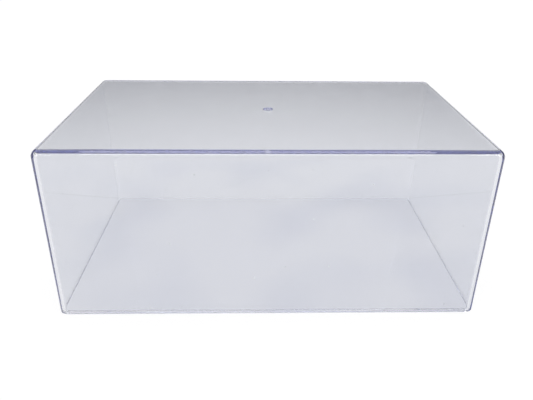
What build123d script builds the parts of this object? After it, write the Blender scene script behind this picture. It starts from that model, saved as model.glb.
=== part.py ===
from build123d import *
import os
from math import cos, radians

# Clear display case for one large slot car: a moulded five-sided cover
# that drops over a thin clear base plate. Millimetres, +Z up, front at -Y.
# The origin is the middle of the plane that the case stands on.

# Cover, outside
LENGTH = 241.7            # along X, at the rim
DEPTH = 133.0             # along Y, at the rim
HEIGHT = 100.0            # standing surface to top face
DRAFT = 2.75              # lean of every wall, degrees
CORNER_RADIUS = 5.0       # upright corners
TOP_RADIUS = 3.9          # rolled edge between the walls and the top

# Cover, thickness
WALL = 2.4                # side walls, measured square to the wall
ROOF = 2.4                # top
INNER_CORNER_RADIUS = 2.6  # upright corners, inside
INNER_TOP_RADIUS = 1.0    # between the walls and the top, inside
RIM_BREAK = 0.3           # rounded rim edges, outside and inside

# Gate mark in the middle of the top
GATE_DIAMETER = 5.2       # dished pocket round the gate
GATE_DEPTH = 0.8
GATE_EDGE = 0.3           # softened mouth of the pocket
STUB_DIAMETER = 2.0       # what is left of the sprue, below the top face
STUB_HEIGHT = 0.6

# Base plate
PLATE_THICKNESS = 1.5
PLATE_CLEARANCE = 0.3     # all round, to the inside of the rim
PLATE_BREAK = 0.2         # rounded plate edges


def across(wall):
    """How far a drafted wall reaches sideways for its thickness."""
    return wall / cos(radians(DRAFT))


def moulded_block(inset, top, corner, roll):
    """A drafted block with round uprights and a rolled top edge."""
    outline = Rectangle(LENGTH - 2 * inset, DEPTH - 2 * inset)
    block = extrude(outline, top, taper=DRAFT)
    uprights = block.edges().filter_by(lambda edge: abs(edge.tangent_at(0.5).Z) > 0.5)
    block = fillet(uprights, corner)
    return fillet(block.faces().sort_by(Axis.Z)[-1].edges(), roll)


def gate_mark():
    """The dished pocket round the stub of the sprue, as a cutting tool."""
    mouth = GATE_DIAMETER / 2
    stub = STUB_DIAMETER / 2
    dish = (mouth + stub) / 2
    flare = mouth + GATE_EDGE
    floor = -GATE_DEPTH
    crown = floor + STUB_HEIGHT
    with BuildPart() as tool:
        with BuildSketch(Plane.XZ):
            with BuildLine():
                Polyline((0, crown), (stub, crown), (stub, floor), (dish, floor))
                TangentArc((dish, floor), (flare, 0), tangent=(1, 0))
                Polyline((flare, 0), (flare, ROOF), (0, ROOF), (0, crown))
            make_face()
        revolve(axis=Axis.Z)
    return Pos(0, 0, HEIGHT) * tool.part


def rim_edges(block):
    """Every edge that lies in the standing plane."""
    return block.edges().filter_by_position(Axis.Z, -0.01, 0.01)


def make_cover():
    """One clear moulding: four drafted walls and a top, open below."""
    outside = moulded_block(0.0, HEIGHT, CORNER_RADIUS, TOP_RADIUS)
    inside = moulded_block(
        across(WALL), HEIGHT - ROOF, INNER_CORNER_RADIUS, INNER_TOP_RADIUS
    )
    cover = outside - inside - gate_mark()
    return fillet(rim_edges(cover), RIM_BREAK)


def make_base_plate():
    """A flat clear plate that lies inside the rim, flush with it below."""
    inset = across(WALL) + PLATE_CLEARANCE
    size = LENGTH - 2 * inset, DEPTH - 2 * inset
    outline = RectangleRounded(*size, INNER_CORNER_RADIUS)
    plate = extrude(outline, PLATE_THICKNESS)
    faces = plate.faces().sort_by(Axis.Z)
    return fillet(faces[0].edges() + faces[-1].edges(), PLATE_BREAK)


def write(name, shape):
    """Save one piece under its node name."""
    shape.label = name
    export_step(shape, f"parts/{name}.step")
    print(f"{name}: volume {shape.volume:.1f}, valid {shape.is_valid}")


os.makedirs("parts", exist_ok=True)
write("cover", make_cover())
write("base_plate", make_base_plate())
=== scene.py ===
import math

import bmesh
import bpy
from bpy.props import (
    FloatProperty, FloatVectorProperty, IntProperty, PointerProperty, StringProperty,
)
from bpy.types import NodeSocket, Operator, Panel, PropertyGroup
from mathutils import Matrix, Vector


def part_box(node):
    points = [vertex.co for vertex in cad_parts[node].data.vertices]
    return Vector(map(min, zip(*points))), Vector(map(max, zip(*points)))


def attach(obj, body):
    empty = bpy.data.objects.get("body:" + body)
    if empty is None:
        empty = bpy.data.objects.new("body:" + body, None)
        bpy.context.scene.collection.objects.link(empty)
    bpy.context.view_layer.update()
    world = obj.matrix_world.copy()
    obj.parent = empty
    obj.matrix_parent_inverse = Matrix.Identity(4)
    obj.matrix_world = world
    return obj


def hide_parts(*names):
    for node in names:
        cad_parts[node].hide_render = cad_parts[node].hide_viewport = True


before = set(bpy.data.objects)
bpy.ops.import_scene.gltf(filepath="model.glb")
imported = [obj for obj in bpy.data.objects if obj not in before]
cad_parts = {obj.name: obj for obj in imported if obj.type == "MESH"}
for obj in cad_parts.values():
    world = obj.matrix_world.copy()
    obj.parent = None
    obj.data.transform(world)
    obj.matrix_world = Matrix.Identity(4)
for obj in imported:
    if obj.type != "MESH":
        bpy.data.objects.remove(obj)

bl_info = {
    "name": "Clear Display Case",
    "version": (1, 0, 0),
    "blender": (4, 5, 0),
    "location": "View3D > Sidebar > Case",
    "description": "A moulded clear cover over a thin clear plate, on a pale studio sweep",
    "category": "Add Mesh",
}

MM = 0.001
SAME = 0.01 * MM  # points nearer than this to a height or a radius lie on it
WHITE = "#ffffff"
COVER_LOW, COVER_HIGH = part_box("cover")
PLATE_LOW, PLATE_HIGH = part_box("base_plate")
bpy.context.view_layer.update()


def linear(code):
    """A linear RGBA colour from an sRGB hex code."""
    channels = [int(code[i:i + 2], 16) / 255 for i in (1, 3, 5)]
    curve = [c / 12.92 if c <= 0.04045 else ((c + 0.055) / 1.055) ** 2.4 for c in channels]
    return (*curve, 1.0)


def add(tree, kind, inputs=None, **settings):
    """Add one shader node, with its settings, its values and its links."""
    node = tree.nodes.new("ShaderNode" + kind)
    for name, value in settings.items():
        setattr(node, name, value)
    for name, value in (inputs or {}).items():
        if isinstance(value, NodeSocket):
            tree.links.new(value, node.inputs[name])
        else:
            node.inputs[name].default_value = value
    return node


def new_material(name):
    """An empty node material and its tree."""
    material = bpy.data.materials.new(name)
    material.use_nodes = True
    material.node_tree.nodes.clear()
    return material, material.node_tree


def new_object(name, bm, material):
    """A smooth mesh object at the origin, from a finished bmesh."""
    mesh = bpy.data.meshes.new(name)
    for face in bm.faces:
        face.smooth = True
    bm.to_mesh(mesh)
    bm.free()
    mesh.materials.append(material)
    piece = bpy.data.objects.new(name, mesh)
    bpy.context.scene.collection.objects.link(piece)
    return piece


# Sizes and colours


class CoverSettings(PropertyGroup):
    wall: FloatProperty(
        name="Wall", description="Thickness of the side walls",
        default=2.4 * MM, min=0.5 * MM, unit="LENGTH")
    roof: FloatProperty(
        name="Roof", description="Thickness of the top",
        default=2.4 * MM, min=0.5 * MM, unit="LENGTH")
    draft: FloatProperty(
        name="Draft", description="Lean of the walls that lets the moulding leave its tool",
        default=math.radians(2.75), min=0.0, subtype="ANGLE")
    corner_radius: FloatProperty(
        name="Corner Radius", description="Round of the upright corners",
        default=5.0 * MM, min=0.5 * MM, unit="LENGTH")
    top_radius: FloatProperty(
        name="Top Radius", description="Rolled edge between the walls and the top",
        default=3.9 * MM, min=0.5 * MM, unit="LENGTH")
    inner_top_radius: FloatProperty(
        name="Inner Top Radius", description="Round between the walls and the top inside",
        default=1.0 * MM, min=0.1 * MM, unit="LENGTH")
    rim_break: FloatProperty(
        name="Rim Break", description="Rounding of the rim that the cover stands on",
        default=0.3 * MM, min=0.1 * MM, unit="LENGTH")
    segments: IntProperty(
        name="Segments", description="Steps across each rounded edge",
        default=8, min=2, max=16)
    gate_diameter: FloatProperty(
        name="Gate Pocket", description="Width of the dished pocket round the gate",
        default=5.2 * MM, min=1.0 * MM, unit="LENGTH")
    gate_depth: FloatProperty(
        name="Gate Depth", description="Depth of the dished pocket",
        default=0.8 * MM, min=0.1 * MM, unit="LENGTH")
    gate_edge: FloatProperty(
        name="Gate Edge", description="How far the mouth of the pocket flares",
        default=0.3 * MM, min=0.0, unit="LENGTH")
    stub_diameter: FloatProperty(
        name="Stub", description="Width of the stub that the sprue left",
        default=2.0 * MM, min=0.2 * MM, unit="LENGTH")
    stub_height: FloatProperty(
        name="Stub Height", description="Height of the stub above the floor of its pocket",
        default=0.6 * MM, min=0.1 * MM, unit="LENGTH")
    tint: StringProperty(
        name="Tint", description="What one wall lets through, as an sRGB hex code",
        default="#ecedf0")
    depth_tint: StringProperty(
        name="Depth Tint", description="Colour that a long way through the plastic turns light",
        default="#b4b8e0")
    depth_density: FloatProperty(
        name="Depth Density", description="Absorption for each metre of the depth tint",
        default=11.0, min=0.0)
    rubbed: FloatProperty(
        name="Rubbed Rim", description="Roughness of the rim where it rubs on its shelf",
        default=0.25, min=0.0, max=1.0)


class PlateSettings(PropertyGroup):
    edge_break: FloatProperty(
        name="Edge Break", description="Rounding of the plate's edges",
        default=0.2 * MM, min=0.05 * MM, unit="LENGTH")
    corner_radius: FloatProperty(
        name="Corner Radius", description="Round of the plate's four corners",
        default=2.6 * MM, min=0.1 * MM, unit="LENGTH")
    tint: StringProperty(
        name="Tint", description="What the sheet lets through, as an sRGB hex code",
        default="#ebecf1")
    # Painted shade: the darker end tint stands in for shade on the sheet's ends.
    painted_end_shade: StringProperty(
        name="End Tint", description="What its sawn ends let through, as an sRGB hex code",
        default="#8a8ea3")
    depth_tint: StringProperty(
        name="Depth Tint", description="Colour that a long way through the sheet turns light",
        default="#b4b8e0")
    depth_density: FloatProperty(
        name="Depth Density", description="Absorption for each metre of the depth tint",
        default=0.3, min=0.0)


class StageSettings(PropertyGroup):
    camera_place: FloatVectorProperty(
        name="Camera Place", description="Where the camera stands", subtype="TRANSLATION",
        default=(-6.82 * MM, -260.55 * MM, 192.07 * MM), unit="LENGTH")
    camera_turn: FloatVectorProperty(
        name="Camera Turn", description="Tilt, roll and pan of the camera", subtype="EULER",
        default=(math.radians(59.26), math.radians(-0.62), math.radians(-1.09)))
    lens: FloatProperty(
        name="Lens", description="Focal length on a 36 mm sensor, in millimetres",
        default=30.79, min=10.0)
    paper: StringProperty(
        name="Paper", description="Colour of the sweep, as an sRGB hex code", default="#f2f2f3")
    # Painted reflection: a colour that the card shows only to reflection rays.
    painted_reflection: StringProperty(
        name="Patch", description="What the plastic mirrors in patches, as an sRGB hex code",
        default="#5f76b4")
    ambient: FloatProperty(
        name="Ambient", description="Strength of the light from all round", default=0.55, min=0.0)
    shadow_share: FloatProperty(
        name="Shadow Share", description="How much of the lit paper shows against plain white",
        default=0.12, min=0.0, max=1.0)
    # The screen is a painted reflection: a glow seen only in the plastic, dim at its foot.
    screen_dim: FloatProperty(
        name="Screen Dim", description="Brightness of the screen at its foot",
        default=0.06, min=0.0, max=1.0)
    screen_low: FloatProperty(
        name="Screen Low", description="Up to this height the screen is dim",
        default=0.62, min=0.0, unit="LENGTH")
    screen_high: FloatProperty(
        name="Screen High", description="From this height the screen is white",
        default=1.22, min=0.0, unit="LENGTH")


# Mesh steps


def drafted_block(bm, half, top, run, radius, segments):
    """A block with round uprights, whose walls lean in by run at the top."""
    verts = bmesh.ops.create_cube(bm, size=1.0)["verts"]
    bmesh.ops.translate(bm, verts=verts, vec=(0, 0, 0.5))
    bmesh.ops.scale(bm, verts=verts, vec=(2 * half.x, 2 * half.y, top))
    upper = [v for v in verts if v.co.z > top / 2]
    bmesh.ops.scale(bm, verts=upper, vec=(1 - run / half.x, 1 - run / half.y, 1))
    round_uprights(bm, radius, segments)


def round_uprights(bm, radius, segments):
    """Round the four upright edges of a block."""
    uprights = [
        edge for edge in bm.edges
        if abs(edge.verts[0].co.z - edge.verts[1].co.z) > edge.calc_length() / 2
    ]
    bmesh.ops.bevel(
        bm, geom=uprights, offset=radius, affect="EDGES", segments=segments, profile=0.5,
        material=-1)


def hollow_out(bm, across, top, run):
    """Push the middle of the floor up inside the block."""
    floor = min(bm.faces, key=lambda face: face.calc_center_median().z)
    bmesh.ops.inset_region(bm, faces=[floor], thickness=across, use_even_offset=True)
    half = Vector(max(abs(v.co[axis]) for v in floor.verts) for axis in range(2))
    ceiling = bmesh.ops.extrude_discrete_faces(bm, faces=[floor])["faces"][0]
    bmesh.ops.translate(bm, verts=ceiling.verts[:], vec=(0, 0, top))
    bmesh.ops.scale(bm, verts=ceiling.verts[:], vec=(1 - run / half.x, 1 - run / half.y, 1))


def weigh_loops(bm, weights, beyond=0.0):
    """Mark the sharp loops at given heights, each with its share of the widest rounding."""
    bmesh.ops.recalc_face_normals(bm, faces=bm.faces[:])
    layer = bm.edges.layers.float.new("bevel_weight_edge")
    sharp = [
        edge for edge in bm.edges
        if edge.calc_face_angle(0.0) > math.radians(45)
        and edge.verts[0].co.to_2d().length > beyond
    ]
    for edge in sharp:
        for height, weight in weights:
            if all(abs(v.co.z - height) < SAME for v in edge.verts):
                edge[layer] = weight


def pull_up(bm, edges, height):
    """Extrude edges straight up."""
    extruded = bmesh.ops.extrude_edge_only(bm, edges=edges)["geom"]
    verts = [part for part in extruded if isinstance(part, bmesh.types.BMVert)]
    bmesh.ops.translate(bm, verts=verts, vec=(0, 0, height))


def gate_profile(cover, steps=6):
    """Half the section of the gate mark, from the mouth of its pocket to the axis."""
    mouth = cover.gate_diameter / 2 + cover.gate_edge
    stub = cover.stub_diameter / 2
    dish = (cover.gate_diameter / 2 + stub) / 2
    points = []
    for i in range(steps + 1):
        angle = math.radians(90) * i / steps
        reach = dish + (mouth - dish) * math.cos(angle)
        points.append((reach, 0, -cover.gate_depth * math.sin(angle)))
    crown = cover.stub_height - cover.gate_depth
    # The stub narrows a little towards its top.
    points += [(stub, 0, -cover.gate_depth), (stub * 0.9, 0, crown), (0, 0, crown)]
    return points


def cut_gate(bm, cover, top):
    """Replace the middle of the roof with the gate mark."""
    # The inset is a little wider than the rolled edge, which leaves that edge its room.
    roof = max(bm.faces, key=lambda face: face.calc_center_median().z)
    bmesh.ops.inset_region(
        bm, faces=[roof], thickness=cover.top_radius * 1.1, use_even_offset=True)
    outline = list(roof.edges)
    bmesh.ops.delete(bm, geom=[roof], context="FACES_ONLY")
    chain = [bm.verts.new(Vector(p) + Vector((0, 0, top))) for p in gate_profile(cover)]
    edges = [bm.edges.new(pair) for pair in zip(chain, chain[1:])]
    bmesh.ops.spin(
        bm, geom=chain + edges, cent=(0, 0, top), axis=(0, 0, 1),
        angle=math.tau, steps=48, use_merge=True)
    bmesh.ops.remove_doubles(bm, verts=bm.verts[:], dist=0.001 * MM)
    mouth = cover.gate_diameter / 2 + cover.gate_edge
    ring = [
        edge for edge in bm.edges if edge.is_boundary
        and all(abs(v.co.to_2d().length - mouth) < SAME for v in edge.verts)
    ]
    bmesh.ops.triangle_fill(bm, use_beauty=True, edges=outline + ring, normal=(0, 0, 1))


def round_edges(piece, width, segments):
    """Round the weighted edges and keep the flat faces flat in the light."""
    bevel = piece.modifiers.new("rounded edges", "BEVEL")
    bevel.limit_method = "WEIGHT"
    bevel.width = width
    bevel.segments = segments
    bevel.profile = 0.5
    bevel.use_clamp_overlap = False
    normals = piece.modifiers.new("flat faces", "WEIGHTED_NORMAL")
    normals.weight = 100
    normals.keep_sharp = False


# Materials

DUST_SPACING = 14 * MM
RIPPLE_LENGTH = 30 * MM
PAINTED_REFLECTION_LENGTH = 90 * MM
CARD_GLOW = 1.03  # just over white, which makes up for the shadow's share


def sheet_colour_with_painted_edges(tree, plate):
    """The sheet's tint on its faces, a darker one on its sawn ends as painted shade, and none on
    its long sides as painted light.
    """
    facing = add(tree, "SeparateXYZ", {"Vector": add(tree, "TexCoord").outputs["Normal"]}).outputs
    end_shade_mask = add(tree, "Math", {0: facing["X"]}, operation="ABSOLUTE")
    flat = add(tree, "Math", {0: facing["Z"]}, operation="ABSOLUTE")
    # Painted shade and light: the colour goes by which way a face looks, darker on the ends and
    # untinted on the long sides.
    painted_edge_colour = add(tree, "MixRGB", {
        "Fac": end_shade_mask.outputs["Value"], "Color1": linear(WHITE),
        "Color2": linear(plate.painted_end_shade)})
    return add(tree, "MixRGB", {
        "Fac": flat.outputs["Value"], "Color1": painted_edge_colour.outputs["Color"],
        "Color2": linear(plate.tint)}).outputs["Color"]


def rubbed_rim(tree, cover):
    """Roughness of the cover, whose lowest 0.3 mm rubs on its shelf."""
    # Where it's satin, it lets out the light that runs inside the walls, and looks paler.
    place = add(tree, "SeparateXYZ", {"Vector": add(tree, "TexCoord").outputs["Object"]}).outputs
    return add(tree, "MapRange", {
        "Value": place["Z"], "From Min": 0.05 * MM, "From Max": 0.3 * MM,
        "To Min": cover.rubbed, "To Max": 0.0}).outputs["Result"]


def crystal_polystyrene(tree, look, colour, rough):
    """Crystal polystyrene: water clear, violet blue where it's seen edge on."""
    place = add(tree, "TexCoord").outputs["Object"]
    # Specks of dust, under 1 mm across and a few to each wall, block a little light.
    dust = add(tree, "TexVoronoi", {"Vector": place, "Scale": 1 / DUST_SPACING})
    clear = add(tree, "MapRange", {
        "Value": dust.outputs["Distance"], "From Min": 0.015, "From Max": 0.035})
    # The melt leaves a slow ripple that only bends reflections a little.
    ripple = add(tree, "TexNoise", {"Vector": place, "Scale": 1 / RIPPLE_LENGTH, "Detail": 1.0})
    bump = add(tree, "Bump", {
        "Height": ripple.outputs["Fac"], "Strength": 0.05, "Distance": 0.5 * MM})
    plastic = add(tree, "BsdfPrincipled", {
        "Base Color": colour,
        "Roughness": rough,
        "IOR": 1.59,
        "Transmission Weight": clear.outputs["Result"],
        "Normal": bump.outputs["Normal"],
    })
    depth = add(tree, "VolumeAbsorption", {
        "Color": linear(look.depth_tint), "Density": look.depth_density})
    add(tree, "OutputMaterial", {
        "Surface": plastic.outputs["BSDF"], "Volume": depth.outputs["Volume"]})


def studio_paper(stage):
    """Matt white card: plain white to the eye and in the plastic, with a little of its shadow."""
    material, tree = new_material("matt white card")
    card = add(tree, "BsdfDiffuse", {"Color": linear(stage.paper)})
    # Painted reflection: bluish patches on the card before the case that only reflection rays see,
    # so they show only where the case's outside mirrors them.
    place = add(tree, "TexCoord").outputs["Object"]
    noise = add(tree, "TexNoise", {"Vector": place, "Scale": 1 / PAINTED_REFLECTION_LENGTH, "Detail": 1.0})
    cloud = add(tree, "MapRange", {
        "Value": noise.outputs["Fac"], "From Min": 0.42, "From Max": 0.62})
    apart = add(tree, "VectorMath", {0: place, 1: (0, -170 * MM, 0)}, operation="DISTANCE")
    before = add(tree, "MapRange", {
        "Value": apart.outputs["Value"], "From Min": 260 * MM, "From Max": 120 * MM})
    painted_reflection = add(tree, "Math", {
        0: cloud.outputs["Result"], 1: before.outputs["Result"]}, operation="MULTIPLY")
    mirrored = add(tree, "Math", {
        0: painted_reflection.outputs["Value"], 1: add(tree, "LightPath").outputs["Is Reflection Ray"]},
        operation="MULTIPLY")
    colour = add(tree, "MixRGB", {
        "Fac": mirrored.outputs["Value"], "Color1": linear(WHITE),
        "Color2": linear(stage.painted_reflection)})
    white = add(tree, "Emission", {"Color": colour.outputs["Color"], "Strength": CARD_GLOW})
    # The shadow lies near the case, and the card is plain white from 0.8 m on.
    away = add(tree, "VectorMath", {0: place}, operation="LENGTH")
    plain = add(tree, "MapRange", {
        "Value": away.outputs["Value"], "From Min": 0.3, "From Max": 0.8,
        "To Min": 1 - stage.shadow_share, "To Max": 1.0})
    mixed = add(tree, "MixShader", {
        "Fac": plain.outputs["Result"], 1: card.outputs["BSDF"], 2: white.outputs["Emission"]})
    shown = add(tree, "MixShader", {
        "Fac": seen_directly(tree), 1: card.outputs["BSDF"], 2: mixed.outputs["Shader"]})
    add(tree, "OutputMaterial", {"Surface": shown.outputs["Shader"]})
    return material


def seen_directly(tree):
    """1 for the camera and for what it sees in or through gloss, 0 for light on its way."""
    path = add(tree, "LightPath").outputs
    pair = add(
        tree, "Math", {0: path["Is Camera Ray"], 1: path["Is Glossy Ray"]}, operation="MAXIMUM")
    return add(
        tree, "Math", {0: pair.outputs["Value"], 1: path["Is Transmission Ray"]},
        operation="MAXIMUM").outputs["Value"]


# Operators


class CASE_OT_cover(Operator):
    """Model the moulded cover"""
    bl_idname = "case.cover"
    bl_label = "Moulded Cover"

    def execute(self, context):
        cover = context.scene.case_cover
        half = (COVER_HIGH - COVER_LOW) / 2
        top = COVER_HIGH.z
        lean = math.tan(cover.draft)
        across = cover.wall / math.cos(cover.draft)
        inner_top = top - cover.roof
        bm = bmesh.new()
        drafted_block(bm, half, top, top * lean, cover.corner_radius, cover.segments)
        hollow_out(bm, across, inner_top, inner_top * lean)
        cut_gate(bm, cover, top)
        widest = cover.top_radius
        weigh_loops(bm, (
            (0.0, cover.rim_break / widest),
            (inner_top, cover.inner_top_radius / widest),
            (top, 1.0),
        ), beyond=cover.gate_diameter)
        material, tree = new_material("moulded crystal polystyrene")
        crystal_polystyrene(tree, cover, linear(cover.tint), rubbed_rim(tree, cover))
        piece = new_object("moulded_cover", bm, material)
        round_edges(piece, widest, cover.segments)
        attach(piece, "cover")
        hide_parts("cover")
        return {"FINISHED"}


class CASE_OT_plate(Operator):
    """Model the clear plate that the car stands on"""
    bl_idname = "case.plate"
    bl_label = "Base Plate"

    def execute(self, context):
        plate = context.scene.case_plate
        size = PLATE_HIGH - PLATE_LOW
        bm = bmesh.new()
        verts = bmesh.ops.create_cube(bm, size=1.0)["verts"]
        bmesh.ops.scale(bm, verts=verts, vec=size)
        bmesh.ops.translate(bm, verts=verts, vec=(PLATE_LOW + PLATE_HIGH) / 2)
        round_uprights(bm, plate.corner_radius, 8)
        weigh_loops(bm, ((PLATE_LOW.z, 1.0), (PLATE_HIGH.z, 1.0)))
        material, tree = new_material("clear polystyrene sheet")
        crystal_polystyrene(tree, plate, sheet_colour_with_painted_edges(tree, plate), 0.0)
        piece = new_object("floor_plate", bm, material)
        round_edges(piece, plate.edge_break, 3)
        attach(piece, "base")
        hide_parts("base_plate")
        return {"FINISHED"}


SWEEP_REACH = 3.0
SWEEP_CURVE = 1.0
SWEEP_GAP = 0.05 * MM  # keeps the card's face off the case's
SCREEN_RADIUS = 2.0
SCREEN_FOOT = 0.3
SCREEN_HEIGHT = 1.2


def make_sweep(stage):
    """A sheet of white card that lies flat and curves up far behind the case."""
    bm = bmesh.new()
    bmesh.ops.create_grid(bm, x_segments=1, y_segments=1, size=SWEEP_REACH)
    bmesh.ops.translate(bm, verts=bm.verts[:], vec=(0, 0, -SWEEP_GAP))
    back = max(bm.edges, key=lambda edge: sum(v.co.y for v in edge.verts))
    pull_up(bm, [back], SWEEP_REACH)
    bmesh.ops.bevel(
        bm, geom=[back], offset=SWEEP_CURVE, affect="EDGES", segments=24, profile=0.5,
        material=-1)
    sweep = new_object("sweep", bm, studio_paper(stage))


def make_lamp(name, place, size, power, target=(0, 0, 0.05)):
    """A soft rectangular lamp that faces the case."""
    lamp = bpy.data.lights.new(name, "AREA")
    lamp.shape = "RECTANGLE"
    lamp.size, lamp.size_y = size
    lamp.energy = power
    holder = bpy.data.objects.new(name, lamp)
    holder.location = place
    holder.rotation_euler = (Vector(target) - Vector(place)).to_track_quat("-Z", "Y").to_euler()
    bpy.context.scene.collection.objects.link(holder)


def make_painted_reflection_screen(stage):
    """A painted reflection: a curved glowing screen behind the sweep, grey below and white above,
    seen only in the plastic.
    """
    material, tree = new_material("painted reflection glow")
    place = add(tree, "TexCoord").outputs["Object"]
    level = add(tree, "MapRange", {
        "Value": add(tree, "SeparateXYZ", {"Vector": place}).outputs["Z"],
        "From Min": stage.screen_low, "From Max": stage.screen_high,
        "To Min": stage.screen_dim, "To Max": 1.0})
    glow = add(tree, "Emission", {
        "Color": linear(WHITE), "Strength": level.outputs["Result"]})
    add(tree, "OutputMaterial", {"Surface": glow.outputs["Emission"]})
    bm = bmesh.new()
    arc = bmesh.ops.create_circle(bm, segments=64, radius=SCREEN_RADIUS)["verts"]
    front = [v for v in arc if v.co.y < SCREEN_RADIUS / 10]
    bmesh.ops.delete(bm, geom=front, context="VERTS")
    bmesh.ops.translate(bm, verts=bm.verts[:], vec=(0, 0, SCREEN_FOOT))
    pull_up(bm, bm.edges[:], SCREEN_HEIGHT)
    screen = new_object("painted reflection screen", bm, material)
    screen.visible_camera = False
    screen.visible_diffuse = False
    screen.visible_shadow = False


def light_world(stage):
    """White behind everything, with a plain even light from all round."""
    world = bpy.data.worlds.new("studio")
    bpy.context.scene.world = world
    world.use_nodes = True
    tree = world.node_tree
    tree.nodes.clear()
    white = add(tree, "Background", {"Color": linear(WHITE), "Strength": 1.0})
    light = add(tree, "Background", {"Color": linear(WHITE), "Strength": stage.ambient})
    mixed = add(tree, "MixShader", {
        "Fac": seen_directly(tree), 1: light.outputs["Background"], 2: white.outputs["Background"]})
    add(tree, "OutputWorld", {"Surface": mixed.outputs["Shader"]})


def place_camera(stage):
    """The camera at the photograph's place, angle and lens."""
    camera = bpy.data.cameras.new("camera")
    camera.lens = stage.lens
    camera.sensor_width = 36.0
    camera.clip_start = 0.01
    holder = bpy.data.objects.new("camera", camera)
    holder.location = stage.camera_place
    holder.rotation_euler = stage.camera_turn
    bpy.context.scene.collection.objects.link(holder)
    bpy.context.scene.camera = holder


class CASE_OT_stage(Operator):
    """Set up the sweep, the light and the camera"""
    bl_idname = "case.stage"
    bl_label = "Studio Stage"

    def execute(self, context):
        stage = context.scene.case_stage
        make_sweep(stage)
        make_painted_reflection_screen(stage)
        make_lamp("soft lamp above", (0.0, 0.1, 1.4), (1.2, 0.8), 9.0)
        make_lamp("soft lamp left", (-1.0, -0.9, 1.0), (0.4, 0.6), 5.0)
        make_lamp("soft lamp right", (1.0, -0.7, 1.1), (0.4, 0.6), 4.0)
        light_world(stage)
        place_camera(stage)
        context.scene.view_settings.view_transform = "Standard"
        # Light runs a long way inside clear walls before it leaves at a rim.
        context.scene.cycles.max_bounces = 256
        context.scene.cycles.transmission_bounces = 256
        context.scene.cycles.glossy_bounces = 256
        return {"FINISHED"}


# Panel and registration


class CASE_PT_parts(Panel):
    """Lists what the case is made of"""
    bl_label = "Clear Display Case"
    bl_idname = "CASE_PT_parts"
    bl_space_type = "VIEW_3D"
    bl_region_type = "UI"
    bl_category = "Case"

    def draw(self, context):
        for operator, settings in (
            (CASE_OT_cover, context.scene.case_cover),
            (CASE_OT_plate, context.scene.case_plate),
            (CASE_OT_stage, context.scene.case_stage),
        ):
            box = self.layout.box()
            box.operator(operator.bl_idname)
            for name in settings.bl_rna.properties.keys():
                if name not in ("rna_type", "name"):
                    box.prop(settings, name)


CLASSES = (
    CoverSettings, PlateSettings, StageSettings,
    CASE_OT_cover, CASE_OT_plate, CASE_OT_stage, CASE_PT_parts,
)


def register():
    for cls in CLASSES:
        bpy.utils.register_class(cls)
    bpy.types.Scene.case_cover = PointerProperty(type=CoverSettings)
    bpy.types.Scene.case_plate = PointerProperty(type=PlateSettings)
    bpy.types.Scene.case_stage = PointerProperty(type=StageSettings)


def unregister():
    del bpy.types.Scene.case_stage
    del bpy.types.Scene.case_plate
    del bpy.types.Scene.case_cover
    for cls in reversed(CLASSES):
        bpy.utils.unregister_class(cls)


def main():
    """Build everything."""
    register()
    bpy.ops.case.cover()
    bpy.ops.case.plate()
    bpy.ops.case.stage()


if __name__ == "__main__":
    main()
